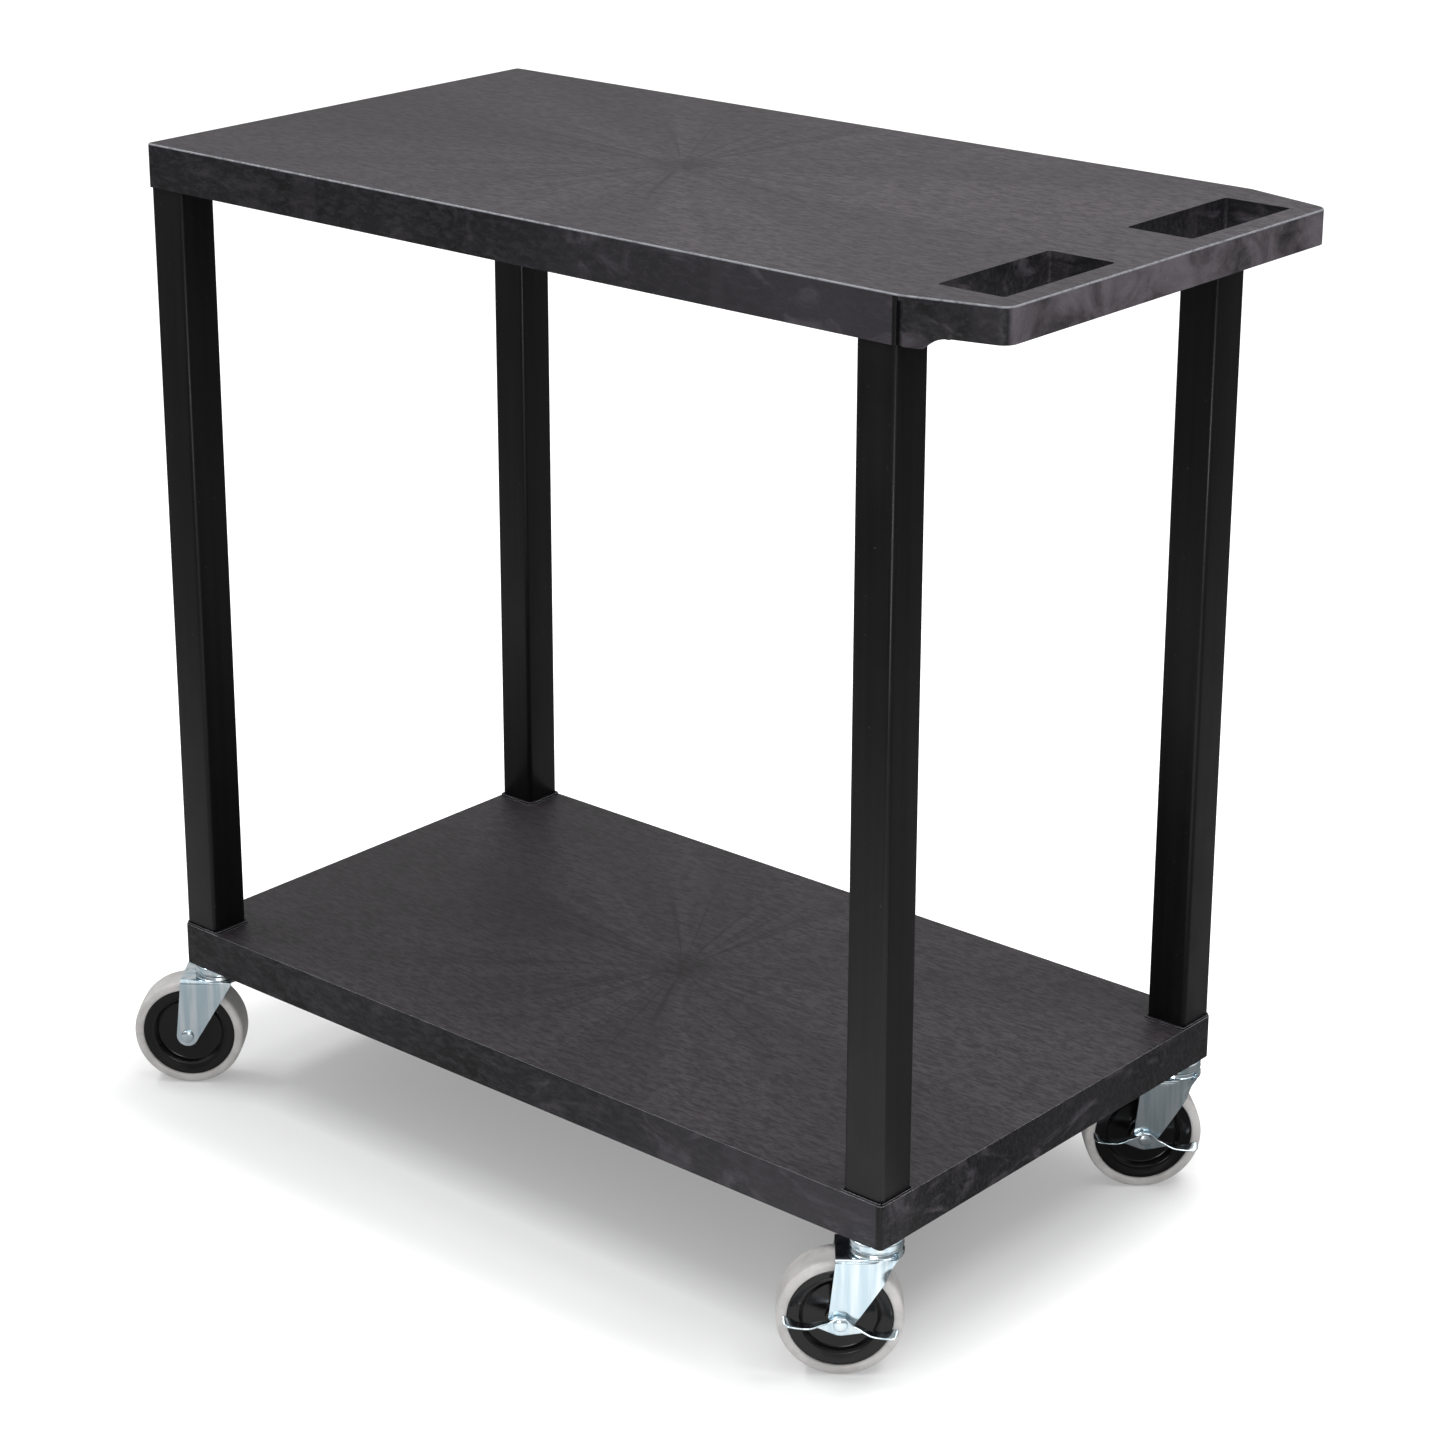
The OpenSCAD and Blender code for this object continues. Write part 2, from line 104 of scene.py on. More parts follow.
class Shader:
    """A material's node tree with short calls for the nodes that it needs."""

    def __init__(self, name):
        self.material = bpy.data.materials.new(name)
        self.material.use_nodes = True
        self.tree = self.material.node_tree
        self.tree.nodes.clear()
        self.output = self.tree.nodes.new("ShaderNodeOutputMaterial")
        self.surface = self.tree.nodes.new("ShaderNodeBsdfPrincipled")
        self.link(self.surface.outputs["BSDF"], self.output.inputs["Surface"])
        self.place = self.node("ShaderNodeTexCoord").outputs["Object"]

    def node(self, kind, **settings):
        made = self.tree.nodes.new(kind)
        for key, value in settings.items():
            setattr(made, key, value)
        return made

    def link(self, source, target):
        self.tree.links.new(source, target)

    def feed(self, target, value):
        if isinstance(value, bpy.types.NodeSocket):
            self.link(value, target)
        else:
            target.default_value = value

    def stretched(self, scale):
        mapping = self.node("ShaderNodeMapping")
        self.feed(mapping.inputs["Vector"], self.place)
        mapping.inputs["Scale"].default_value = scale
        return mapping.outputs["Vector"]

    def noise(self, scale, detail=3.0, roughness=0.55, distortion=0.0, place=None):
        made = self.node("ShaderNodeTexNoise")
        self.feed(made.inputs["Vector"], place or self.place)
        made.inputs["Scale"].default_value = scale
        made.inputs["Detail"].default_value = detail
        made.inputs["Roughness"].default_value = roughness
        made.inputs["Distortion"].default_value = distortion
        return made.outputs["Fac"]

    def cells(self, scale):
        made = self.node("ShaderNodeTexVoronoi")
        self.feed(made.inputs["Vector"], self.place)
        made.inputs["Scale"].default_value = scale
        return made.outputs["Distance"]

    def math(self, operation, first, second=0.0):
        made = self.node("ShaderNodeMath", operation=operation)
        self.feed(made.inputs[0], first)
        self.feed(made.inputs[1], second)
        return made.outputs[0]

    def remap(self, value, low, high, to_low=0.0, to_high=1.0):
        made = self.node("ShaderNodeMapRange", interpolation_type="SMOOTHSTEP")
        self.feed(made.inputs["Value"], value)
        limits = (("From Min", low), ("From Max", high), ("To Min", to_low), ("To Max", to_high))
        for key, number in limits:
            made.inputs[key].default_value = number
        return made.outputs["Result"]

    def blend(self, factor, first, second):
        made = self.node("ShaderNodeMix", data_type="RGBA")
        self.feed(made.inputs["Factor"], factor)
        self.feed(made.inputs["A"], first)
        self.feed(made.inputs["B"], second)
        return made.outputs["Result"]

    def normal(self, axis):
        """The surface normal's part along an axis."""
        normal = self.node("ShaderNodeSeparateXYZ")
        self.link(self.node("ShaderNodeNewGeometry").outputs["Normal"], normal.inputs["Vector"])
        return normal.outputs[axis]

    def facing(self, axis):
        """1 on faces square to an axis, 0 on faces along it."""
        return self.math("ABSOLUTE", self.normal(axis))

    def arris(self):
        """1 along the rounded arrises between upright faces and a top."""
        tilt = self.normal("Z")
        below_level = self.remap(tilt, 0.86, 0.985, 1.0, 0.0)
        return self.math("MULTIPLY", self.remap(tilt, 0.12, 0.4), below_level)

    def bump(self, height, strength, distance, before=None):
        made = self.node("ShaderNodeBump")
        made.inputs["Strength"].default_value = strength
        made.inputs["Distance"].default_value = distance
        self.feed(made.inputs["Height"], height)
        if before is not None:
            self.link(before, made.inputs["Normal"])
        return made.outputs["Normal"]

    def finish(self, colour, roughness, normal=None, metallic=0.0, specular=0.5):
        self.feed(self.surface.inputs["Base Color"], colour)
        self.feed(self.surface.inputs["Roughness"], roughness)
        self.surface.inputs["Metallic"].default_value = metallic
        self.surface.inputs["Specular IOR Level"].default_value = specular
        if normal is not None:
            self.link(normal, self.surface.inputs["Normal"])
        return self.material


def grey(level, warm=0.0):
    """A near-neutral colour; warm above 0 leans to brown, below 0 to blue."""
    return (level * (1 + warm), level, level * (1 - warm), 1.0)


def black(level, blue=0.0):
    """Black plastic has a trace of violet; blue turns it cooler."""
    return (level * (1.08 - blue), level * 0.94, level * (1.07 + blue), 1.0)


# ---------------------------------------------------------------- materials

def flow_place(shader, gate):
    """Coordinates that vary round a moulding gate and hardly along its radius."""
    offset = shader.node("ShaderNodeVectorMath", operation="SUBTRACT")
    shader.feed(offset.inputs[0], shader.place)
    offset.inputs[1].default_value = gate
    flat = shader.node("ShaderNodeVectorMath", operation="MULTIPLY")
    shader.link(offset.outputs[0], flat.inputs[0])
    flat.inputs[1].default_value = (1, 1, 0)
    radius = shader.node("ShaderNodeVectorMath", operation="LENGTH")
    shader.link(flat.outputs[0], radius.inputs[0])
    ray = shader.node("ShaderNodeVectorMath", operation="NORMALIZE")
    shader.link(flat.outputs[0], ray.inputs[0])
    joined = shader.node("ShaderNodeSeparateXYZ")
    shader.link(ray.outputs[0], joined.inputs["Vector"])
    made = shader.node("ShaderNodeCombineXYZ")
    shader.link(joined.outputs["X"], made.inputs["X"])
    shader.link(joined.outputs["Y"], made.inputs["Y"])
    shader.link(shader.math("MULTIPLY", radius.outputs["Value"], 0.25), made.inputs["Z"])
    return made.outputs["Vector"], radius.outputs["Value"]


def shelf_plastic():
    """Structural foam: flow marks that fan out from the gate, hazy skirts, a leathery grain; painted shade on the
    skirts, the far end of the tops and the groove by the handle, painted light towards the handle and on its end
    face, and painted highlights along the arrises.
    """
    shader = Shader("shelf_plastic")
    fan, radius = flow_place(shader, (shelf_centre.x, shelf_centre.y, 0))
    across = shader.node("ShaderNodeSeparateXYZ")
    shader.link(shader.place, across.inputs["Vector"])
    leather = shader.noise(1.0, 5.0, 0.66, 0.5, shader.stretched((95, 330, 240)))
    grain = shader.noise(1000, 2.0, 0.6)
    clouds = shader.noise(9.0, 4.0, 0.55)
    sectors = shader.noise(2.6, 2.0, 0.5, place=fan)
    ray_place = shader.noise(3.4, 1.0, 0.5, place=fan)
    crossing = shader.math("ABSOLUTE", shader.math("SUBTRACT", ray_place, 0.5))
    ray = shader.remap(crossing, 0.0, 0.035, 1.0, 0.0)
    ray = shader.math("MULTIPLY", ray, shader.remap(radius, 0.03, 0.26, 0.50, 0.04))
    ray = shader.math("MULTIPLY", ray, shader.remap(leather, 0.30, 0.55, 0.35, 1.0))
    gate = shader.remap(radius, 0.004, 0.045, 0.55, 0.0)
    top = shader.blend(shader.remap(leather, 0.36, 0.64), black(0.015), black(0.043))
    top = shader.blend(shader.remap(sectors, 0.40, 0.60, 0.0, 0.35), top, black(0.010))
    # painted shade: the tops grow darker towards the far end, away from the handle
    far_end_shade = shader.remap(across.outputs["X"], -0.42, 0.25, 0.55, 0.0)
    top = shader.blend(far_end_shade, top, black(0.010))
    mark = shader.math("MAXIMUM", ray, gate)
    top = shader.blend(shader.math("MULTIPLY", mark, 0.9), top, black(0.003))
    swirl = shader.noise(1.0, 5.0, 0.62, 1.4, shader.stretched((16, 16, 30)))
    swirl = shader.remap(swirl, 0.50, 0.74)
    curtain = shader.noise(1.0, 2.0, 0.4, 0.2, shader.stretched((21, 21, 2)))
    curtain = shader.remap(curtain, 0.62, 0.70)
    # painted shade: the upright faces take a much darker copy of the plastic's colour than the tops
    side = shader.blend(shader.remap(clouds, 0.3, 0.7), black(0.0030, 0.06), black(0.008, 0.06))
    side = shader.blend(shader.remap(leather, 0.42, 0.66, 0.0, 0.6), side, black(0.021, 0.05))
    # the swirl patches are the foam's own; making them stronger towards the handle end is painted light
    handle_light_ramp = shader.remap(across.outputs["X"], -0.3, 0.42, 0.25, 0.9)
    # painted light: the skirts grow lighter towards the handle end, up to the shelf's end, except on faces that
    # face along X
    skirt_light_ramp = shader.remap(across.outputs["X"], -0.05, SHELF_END - 0.04, 0.0, 0.55)
    on_shelf = shader.remap(across.outputs["X"], SHELF_END - 0.005, SHELF_END + 0.005, 1.0, 0.0)
    skirt_light_ramp = shader.math("MULTIPLY", skirt_light_ramp, on_shelf)
    skirt_light_ramp = shader.math("MULTIPLY", skirt_light_ramp, shader.remap(shader.facing("X"), 0.2, 0.8, 1.0, 0.0))
    side = shader.blend(skirt_light_ramp, side, black(0.030, 0.05))
    side = shader.blend(shader.math("MULTIPLY", swirl, handle_light_ramp), side, black(0.050, 0.03))
    side = shader.blend(shader.math("MULTIPLY", curtain, 0.12), side, black(0.05))
    # the handle's end face: cloudy patches of the foam, and painted light that makes the face far lighter than the
    # skirts
    at_end = shader.remap(across.outputs["X"], HANDLE_END - 0.003, HANDLE_END - 0.0005)
    end_clouds_and_light = shader.noise(1.0, 5.0, 0.62, 0.5, shader.stretched((20, 15, 20)))
    end_clouds_and_light = shader.remap(end_clouds_and_light, 0.30, 0.66)
    side = shader.blend(shader.math("MULTIPLY", at_end, end_clouds_and_light), side, black(0.075, 0.0))
    # painted shade: a near-black line down the skirt's groove beside the handle
    from_seam = shader.math("ABSOLUTE", shader.math("SUBTRACT", across.outputs["X"], SEAM))
    groove_shade = shader.remap(from_seam, SEAM_HALF - 0.0004, SEAM_HALF + 0.0004, 0.92, 0.0)
    side = shader.blend(groove_shade, side, black(0.0006))
    # painted light and shade: tops take the lighter colour, upright faces the darker one
    colour = shader.blend(shader.remap(shader.facing("Z"), 0.55, 0.8), side, top)
    # painted highlight: a light line along the rounded arrises of the tops, broken up by noise, and lighter on the
    # lower shelf, which the deck shades from the lamps
    highlight_breakup = shader.remap(shader.noise(130, 3.0, 0.6), 0.30, 0.55, 0.45, 1.0)
    arris_highlight = shader.math("MULTIPLY", shader.arris(), highlight_breakup)
    in_shade = shader.remap(across.outputs["Z"], SHELF_TOP, SHELF_TOP + 0.3, 1.0, 0.0)
    arris_highlight_colour = shader.blend(in_shade, (0.17, 0.175, 0.19, 1), (0.30, 0.31, 0.33, 1))
    colour = shader.blend(arris_highlight, colour, arris_highlight_colour)
    relief = shader.math("ADD", shader.math("MULTIPLY", grain, 0.45), leather)
    relief = shader.math("SUBTRACT", relief, shader.math("MULTIPLY", mark, 0.25))
    normal = shader.bump(shader.noise(55, 3.0, 0.5), 0.35, 0.0005)
    normal = shader.bump(relief, 0.75, 0.0006, normal)
    rough = shader.remap(leather, 0.3, 0.7, 0.46, 0.36)
    rough = shader.math("ADD", rough, shader.math("MULTIPLY", grain, 0.08))
    rough = shader.math("ADD", rough, shader.math("MULTIPLY", mark, 0.16))
    return shader.finish(colour, rough, normal, specular=0.22)


def leg_plastic():
    """Smooth near-black plastic with faint streaks along its length and small scuffs."""
    shader = Shader("leg_plastic")
    streaks = shader.noise(1.0, 4.0, 0.6, place=shader.stretched((160, 160, 3)))
    clouds = shader.noise(14, 3.0)
    scuffs = shader.remap(shader.noise(260, 2.0, 0.7), 0.71, 0.78)
    colour = shader.blend(shader.remap(streaks, 0.3, 0.7), black(0.0020, 0.04), black(0.0040, 0.04))
    colour = shader.blend(shader.math("MULTIPLY", scuffs, 0.5), colour, grey(0.06))
    rough = shader.remap(clouds, 0.3, 0.7, 0.30, 0.42)
    rough = shader.math("ADD", rough, shader.math("MULTIPLY", scuffs, 0.2))
    normal = shader.bump(shader.noise(900, 2.0), 0.25, 0.00008)
    return shader.finish(colour, rough, shader.bump(clouds, 0.2, 0.0008, normal), specular=0.22)


def hub_plastic():
    """Glossy black moulding with turned rings and a little dust in the recess."""
    shader = Shader("hub_plastic")
    dust = shader.remap(shader.noise(190, 4.0, 0.7), 0.55, 0.8, 0.0, 0.25)
    colour = shader.blend(dust, black(0.0028), black(0.010))
    rough = shader.remap(shader.noise(70, 3.0), 0.3, 0.7, 0.13, 0.22)
    normal = shader.bump(shader.noise(420, 2.0), 0.10, 0.00008)
    return shader.finish(colour, rough, normal, specular=0.28)


def tyre_rubber():
    """Grey thermoplastic rubber: mottled, matte, with a fine skin and light scuffs."""
    shader = Shader("tyre_rubber")
    mottle = shader.noise(45, 4.0, 0.6)
    specks = shader.remap(shader.noise(700, 2.0, 0.7), 0.62, 0.75)
    dark_rubber, pale_rubber = (0.330, 0.321, 0.316, 1), (0.430, 0.419, 0.413, 1)
    colour = shader.blend(shader.remap(mottle, 0.3, 0.7), dark_rubber, pale_rubber)
    colour = shader.blend(shader.math("MULTIPLY", specks, 0.25), colour, grey(0.12, 0.02))
    shader.surface.inputs["Subsurface Weight"].default_value = 0.10
    shader.surface.inputs["Subsurface Radius"].default_value = (0.003, 0.003, 0.003)
    rough = shader.remap(mottle, 0.3, 0.7, 0.34, 0.50)
    normal = shader.bump(shader.noise(1100, 2.0), 0.3, 0.00012)
    return shader.finish(colour, rough, shader.bump(mottle, 0.15, 0.0006, normal), specular=0.4)


def zinc_steel():
    """Bright zinc: blue passivation with straw-coloured clouds and fine rolling lines."""
    shader = Shader("zinc_steel")
    clouds = shader.noise(34, 3.0, 0.5, 0.4)
    bands = shader.noise(1.0, 2.0, 0.5, 0.3, shader.stretched((150, 150, 12)))
    lines = shader.noise(1.0, 3.0, 0.6, place=shader.stretched((900, 900, 60)))
    blue, silver, straw = (0.46, 0.57, 0.63, 1), (0.66, 0.73, 0.77, 1), (0.66, 0.67, 0.63, 1)
    colour = shader.blend(shader.remap(bands, 0.35, 0.65), blue, silver)
    colour = shader.blend(shader.remap(clouds, 0.56, 0.72, 0.0, 0.4), colour, straw)
    fine = shader.math("MULTIPLY", shader.noise(900, 2.0), 0.06)
    rough = shader.math("ADD", shader.remap(clouds, 0.3, 0.7, 0.10, 0.19), fine)
    normal = shader.bump(lines, 0.10, 0.00005)
    normal = shader.bump(shader.noise(38, 2.0, 0.4), 0.30, 0.0007, normal)
    return shader.finish(colour, rough, normal, metallic=1.0)


def bar_steel():
    """Plain galvanised tube, duller than the casters, with spangle and rub marks."""
    shader = Shader("bar_steel")
    spangle = shader.cells(120)
    colour = shader.blend(shader.remap(spangle, 0.2, 0.7), grey(0.36, -0.03), grey(0.48, -0.02))
    rub = shader.noise(1.0, 4.0, 0.6, place=shader.stretched((6, 300, 300)))
    rough = shader.remap(rub, 0.3, 0.7, 0.34, 0.5)
    return shader.finish(colour, rough, shader.bump(rub, 0.2, 0.00015), metallic=1.0)


def polished_steel():
    """Hardened balls with a trace of grease."""
    shader = Shader("polished_steel")
    film = shader.noise(300, 3.0)
    colour = shader.blend(shader.remap(film, 0.4, 0.7), grey(0.62), grey(0.42, 0.08))
    return shader.finish(colour, shader.remap(film, 0.3, 0.7, 0.10, 0.28), metallic=1.0)


def friction_pad():
    """Pressed fibre, dark and matte."""
    shader = Shader("friction_pad")
    fibre = shader.noise(600, 4.0, 0.7, 1.0)
    colour = shader.blend(fibre, grey(0.02, 0.1), grey(0.05, 0.12))
    return shader.finish(colour, 0.85, shader.bump(fibre, 0.5, 0.0002))


MAKERS = (shelf_plastic, leg_plastic, hub_plastic, tyre_rubber, zinc_steel, bar_steel, polished_steel,
          friction_pad)
MATERIALS = {maker.__name__: maker() for maker in MAKERS}
SLOT_OF = {row["node"]: row["material_slot"] for row in RECORD["subparts"]}


# ---------------------------------------------------------------- piece helpers

def body_of(node):
    """The moving body that a CAD node belongs to."""
    for body, nodes in RECORD["behaviour"]["bodies"].items():
        if node in nodes:
            return body
    raise ValueError(node)


def dress_frame():
    """Every CAD node that stays gets its slot's material."""
    for name, part in frame["nodes"].items():
        part.data.materials.clear()
        part.data.materials.append(MATERIALS[SLOT_OF[name]])


def settle(piece, node):
    """Joins a finished piece to the frame in place of a CAD node."""
    slot = SLOT_OF[node]
    piece.data.materials.clear()
    piece.data.materials.append(MATERIALS[slot])
    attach(piece, body_of(node))
    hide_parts(node)


ARRIS_ANGLE = math.radians(32)              # sharper edges than this are arrises
FOLD_ANGLE = math.radians(40)               # edges sharper than this are shaded as folds
HOLE_REACH = 195 * MM                       # past the hand holes' outer ends


def cleaned(node):
    """An editable copy of a CAD node's mesh, with its flat faces whole."""
    shape = bmesh.new()
    shape.from_mesh(frame["nodes"][node].data)
    bmesh.ops.remove_doubles(shape, verts=shape.verts, dist=2e-6)
    bmesh.ops.dissolve_limit(shape, angle_limit=math.radians(0.4), verts=shape.verts, edges=shape.edges)
    return shape


def linked(name, shape):
    """A smooth-shaded object made from an editable mesh."""
    mesh = bpy.data.meshes.new(name)
    shape.to_mesh(mesh)
    shape.free()
    for polygon in mesh.polygons:
        polygon.use_smooth = True
    piece = bpy.data.objects.new(name, mesh)
    bpy.context.scene.collection.objects.link(piece)
    return piece


def softened(name, node, width, segments=3):
    """A copy of a CAD node with its arrises rounded."""
    piece = linked(name, cleaned(node))
    bevel = piece.modifiers.new("arris", "BEVEL")
    bevel.width = width
    bevel.segments = segments
    bevel.limit_method = "ANGLE"
    bevel.angle_limit = ARRIS_ANGLE
    bevel.use_clamp_overlap = True
    bevel.harden_normals = True
    settle(piece, node)


def in_hand_hole(point):
    """True for a point on the inner outline of a hand hole."""
    across = abs(point.y - shelf_centre.y)
    return SHELF_END < point.x < HANDLE_END - 5 * MM and across < HOLE_REACH


def rim_edges(shape, top):
    """The edges round a moulding's outline, between its top and its tall upright faces."""
    shape.normal_update()
    rim = []
    for edge in shape.edges:
        if len(edge.link_faces) != 2 or max(abs(vert.co.z - top) for vert in edge.verts) > 0.1 * MM:
            continue
        level, upright = sorted(edge.link_faces, key=lambda face: -face.normal.z)
        foot = min(vert.co.z for vert in upright.verts)
        tall = abs(upright.normal.z) < 0.2 and foot < top - 5 * MM
        spot = middle(*(vert.co for vert in edge.verts))
        if level.normal.z > 0.9 and tall and not in_hand_hole(spot):
            rim.append(edge)
    return rim


def moulding(name, node, top, width):
    """A copy of a CAD node with a rounded arris all round its top."""
    shape = cleaned(node)
    rim = rim_edges(shape, top)
    bmesh.ops.bevel(shape, geom=rim, offset=width, offset_type="OFFSET", segments=4, profile=0.5,
                    affect="EDGES", clamp_overlap=False)
    piece = linked(name, shape)
    piece.data.set_sharp_from_angle(angle=ARRIS_ANGLE)
    weights = piece.modifiers.new("weights", "WEIGHTED_NORMAL")
    weights.keep_sharp = True
    settle(piece, node)


# ---------------------------------------------------------------- caster pieces

def place_mesh(name, verts, faces, matrix):
    """A smooth-shaded mesh whose points, given in millimetres, are set in place by matrix."""
    raw = bpy.data.meshes.new(name)
    raw.from_pydata([matrix @ (Vector(vert) * MM) for vert in verts], [], faces)
    shape = bmesh.new()
    shape.from_mesh(raw)
    bpy.data.meshes.remove(raw)
    bmesh.ops.remove_doubles(shape, verts=shape.verts, dist=1e-6)
    bmesh.ops.dissolve_degenerate(shape, edges=shape.edges, dist=1e-6)
    bmesh.ops.recalc_face_normals(shape, faces=shape.faces)
    piece = linked(name, shape)
    piece.data.set_sharp_from_angle(angle=FOLD_ANGLE)
    return piece


def turned(profile, steps, closed):
    """Points and faces of a profile of (radius, height) pairs turned about local Z."""
    verts = []
    for step in range(steps):
        turn = 2 * math.pi * step / steps
        across, along = math.cos(turn), math.sin(turn)
        verts += [(radius * across, radius * along, height) for radius, height in profile]
    faces = []
    count = len(profile)
    spans = count if closed else count - 1
    for step in range(steps):
        for index in range(spans):
            after = (index + 1) % count
            here, there = step * count, (step + 1) % steps * count
            faces.append((here + index, here + after, there + after, there + index))
    return verts, faces


def arc(centre, radius, start, end, steps=6):
    """Points of an arc, with its angles in degrees."""
    angles = [math.radians(start + (end - start) * step / steps) for step in range(steps + 1)]
    return [(centre[0] + radius * math.cos(angle), centre[1] + radius * math.sin(angle))
            for angle in angles]


def mirrored(half):
    """A closed profile from its upper half, which starts and ends off the mirror line."""
    return half + [(radius, -height) for radius, height in reversed(half)]


def smoothstep(value):
    """Eases from 0 to 1 as value goes from 0 to 1."""
    value = min(max(value, 0.0), 1.0)
    return value * value * (3 - 2 * value)


# Wheel, in millimetres from its middle
WHEEL_STEPS = 128
TYRE_FACE = 16.0
TREAD = 50.8                                # radius of the tyre
HUB_RIM = 42.35                             # radius where hub and tyre meet
SHOULDER = 3.6                              # radius of the tyre's edges
PRESSED_STEPS = 96


def tyre(caster):
    """Flat faces, round shoulders and a slightly crowned tread."""
    side = [(HUB_RIM, 13.0), (HUB_RIM, 14.6), (HUB_RIM + 0.5, 15.3)]
    side += [(HUB_RIM + 1.6, TYRE_FACE), (TREAD - SHOULDER - 1.2, TYRE_FACE)]
    side += arc((TREAD - SHOULDER - 0.25, TYRE_FACE - SHOULDER), SHOULDER, 85, 8)
    crown = [(TREAD - 0.12, 8.0), (TREAD, 3.0)]
    verts, faces = turned(mirrored(side + crown), WHEEL_STEPS, True)
    piece = place_mesh("tyre_tread_" + caster.corner, verts, faces, caster.at_axle())
    settle(piece, "tyre_" + caster.corner)


def hub(caster):
    """Rim flange, sloped dish with one turned step, flat web and a core."""
    half = [(6.55, 17.4), (7.2, 18.0), (10.2, 18.0)] + arc((10.2, 17.2), 0.8, 90, 0, 3)
    half += arc((12.6, 10.2), 1.4, 180, 270, 4) + [(28.0, 8.6)] + arc((28.0, 10.6), 2.0, 270, 340, 5)
    half += [(32.2, 12.0)] + arc((33.3, 11.9), 0.9, 150, 60, 4) + arc((34.9, 13.1), 0.6, 230, 290, 3)
    half += [(39.6, 14.3)] + arc((41.4, 13.6), 0.8, 100, 10, 3) + [(HUB_RIM - 0.1, 12.0)]
    verts, faces = turned(mirrored(half), WHEEL_STEPS, True)
    piece = place_mesh("wheel_hub_" + caster.corner, verts, faces, caster.at_axle())
    settle(piece, "hub_" + caster.corner)


def raceway(caster):
    """Pressed cap with a rolled lip."""
    outside = [(5.2, 0.0), (20.4, 0.0)] + arc((20.4, -1.5), 1.5, 90, 0) + [(21.75, -5.2)]
    outside += arc((21.4, -6.3), 0.6, 40, -90, 4)
    inside = [(20.4, -6.9), (20.3, -2.6), (19.6, -1.8), (5.2, -1.8)]
    verts, faces = turned(outside + inside, PRESSED_STEPS, True)
    piece = place_mesh("raceway_ring_" + caster.corner, verts, faces, caster.at_stem())
    settle(piece, "raceway_cap_" + caster.corner)


def bolt(caster):
    """Shank with a domed head, which on a braked caster stands outside the pedal."""
    braked = caster.corner in BRAKED
    seat = 24.9 if braked else 22.6
    radius, rise = (5.8, 3.0) if braked else (6.1, 2.9)
    dome = [(radius * math.cos(angle), seat + 0.9 + (rise - 0.9) * math.sin(angle))
            for angle in (math.radians(12 * step) for step in range(7))]
    profile = [(0.0, -29.4), (3.3, -29.4), (3.95, -28.7), (3.95, seat), (radius - 0.2, seat)]
    profile += dome + [(0.0, seat + rise)]
    verts, faces = turned(profile, 48, False)
    piece = place_mesh("axle_rivet_" + caster.corner, verts, faces, caster.at_axle())
    settle(piece, "axle_bolt_" + caster.corner)


# Fork, in millimetres from the stem's foot, +X forward along the heading
SHEET = 3.0
LEG_FACE = 22.5                             # outer face of each leg plate
CROWN = -11.5                               # top of the sheet
FORK_BACK = -32.5
FORK_FRONT = 14.2
WRAP_FRONT = 18.4                           # front of a braked fork, whose plates wrap inward
FORK_END = 9.8                              # radius of the plates' round ends
BEND = 3.6                                  # outer radius between crown and plates
WRAP = 8.5                                  # how far the wrapped front edges turn in


def tangent_angle(corner, sign):
    """Where a line from corner (seen from the round end's centre) touches the round end."""
    return math.atan2(corner[1], corner[0]) + sign * math.acos(FORK_END / math.hypot(*corner))


def fork_rows(trail, drop, wrap):
    """Rows of points over one half of the fork's outer skin, from its middle out and down."""
    across = 18
    rows = []

    def row(back, front, y, z, pull=0.0):
        points = []
        for step in range(across + 1):
            part = step / across
            x = back + (front - back) * part
            clear = smoothstep((math.hypot(x + trail, z + drop) - TREAD + 4) / 16)
            inward = pull * smoothstep((part - 0.55) / 0.45) * (0.22 + 0.78 * clear)
            points.append((x - 0.15 * inward, y - inward, z))
        rows.append(points)

    front_top = WRAP_FRONT if wrap else FORK_FRONT
    top = CROWN - BEND
    flat = LEG_FACE - BEND
    for y in (0, 5, 10, 14, 17, flat):
        rim = math.sqrt(22.3 ** 2 - min(y, 17) ** 2)
        row(FORK_BACK, max(rim, front_top - wrap * 3), y, CROWN)
    for step in range(1, 6):
        angle = math.radians(90 - 18 * step)
        row(FORK_BACK, front_top - wrap * 3 * (1 - step / 5), flat + BEND * math.cos(angle),
            top + BEND * math.sin(angle), wrap * WRAP * step / 5)
    front = (front_top + trail, top + drop)
    back = (FORK_BACK + trail, top + drop)
    touch = {1: tangent_angle(front, -1), -1: tangent_angle(back, 1)}

    def edge(side, height):
        """Distance along the heading from the axle to one edge, at a height over the axle."""
        start = front if side > 0 else back
        end = (FORK_END * math.cos(touch[side]), FORK_END * math.sin(touch[side]))
        if height > end[1]:
            return end[0] + (start[0] - end[0]) * (height - end[1]) / (start[1] - end[1])
        return side * math.sqrt(max(FORK_END ** 2 - height ** 2, 0.0))

    heights = [(top + drop) * (1 - step / 16) for step in range(1, 17)]
    heights += [-FORK_END * math.sin(math.radians(88 * step / 9)) for step in range(1, 10)]
    for height in heights:
        left_of_top = height / (top + drop)
        pull = wrap * WRAP * smoothstep(left_of_top * 1.15 - 0.10)
        row(-trail + edge(-1, height), -trail + edge(1, height), LEG_FACE, height - drop, pull)
    return rows


def skin(rows):
    """Points and faces of a sheet through rows of points."""
    count = len(rows[0])
    verts = [point for points in rows for point in points]
    faces = []
    for line in range(len(rows) - 1):
        for step in range(count - 1):
            first = line * count + step
            faces.append((first, first + 1, first + count + 1, first + count))
    return verts, faces


def add_shape(shape, more):
    """Appends (verts, faces) to another such pair."""
    start = len(shape[0])
    return shape[0] + more[0], shape[1] + [tuple(index + start for index in face) for face in more[1]]


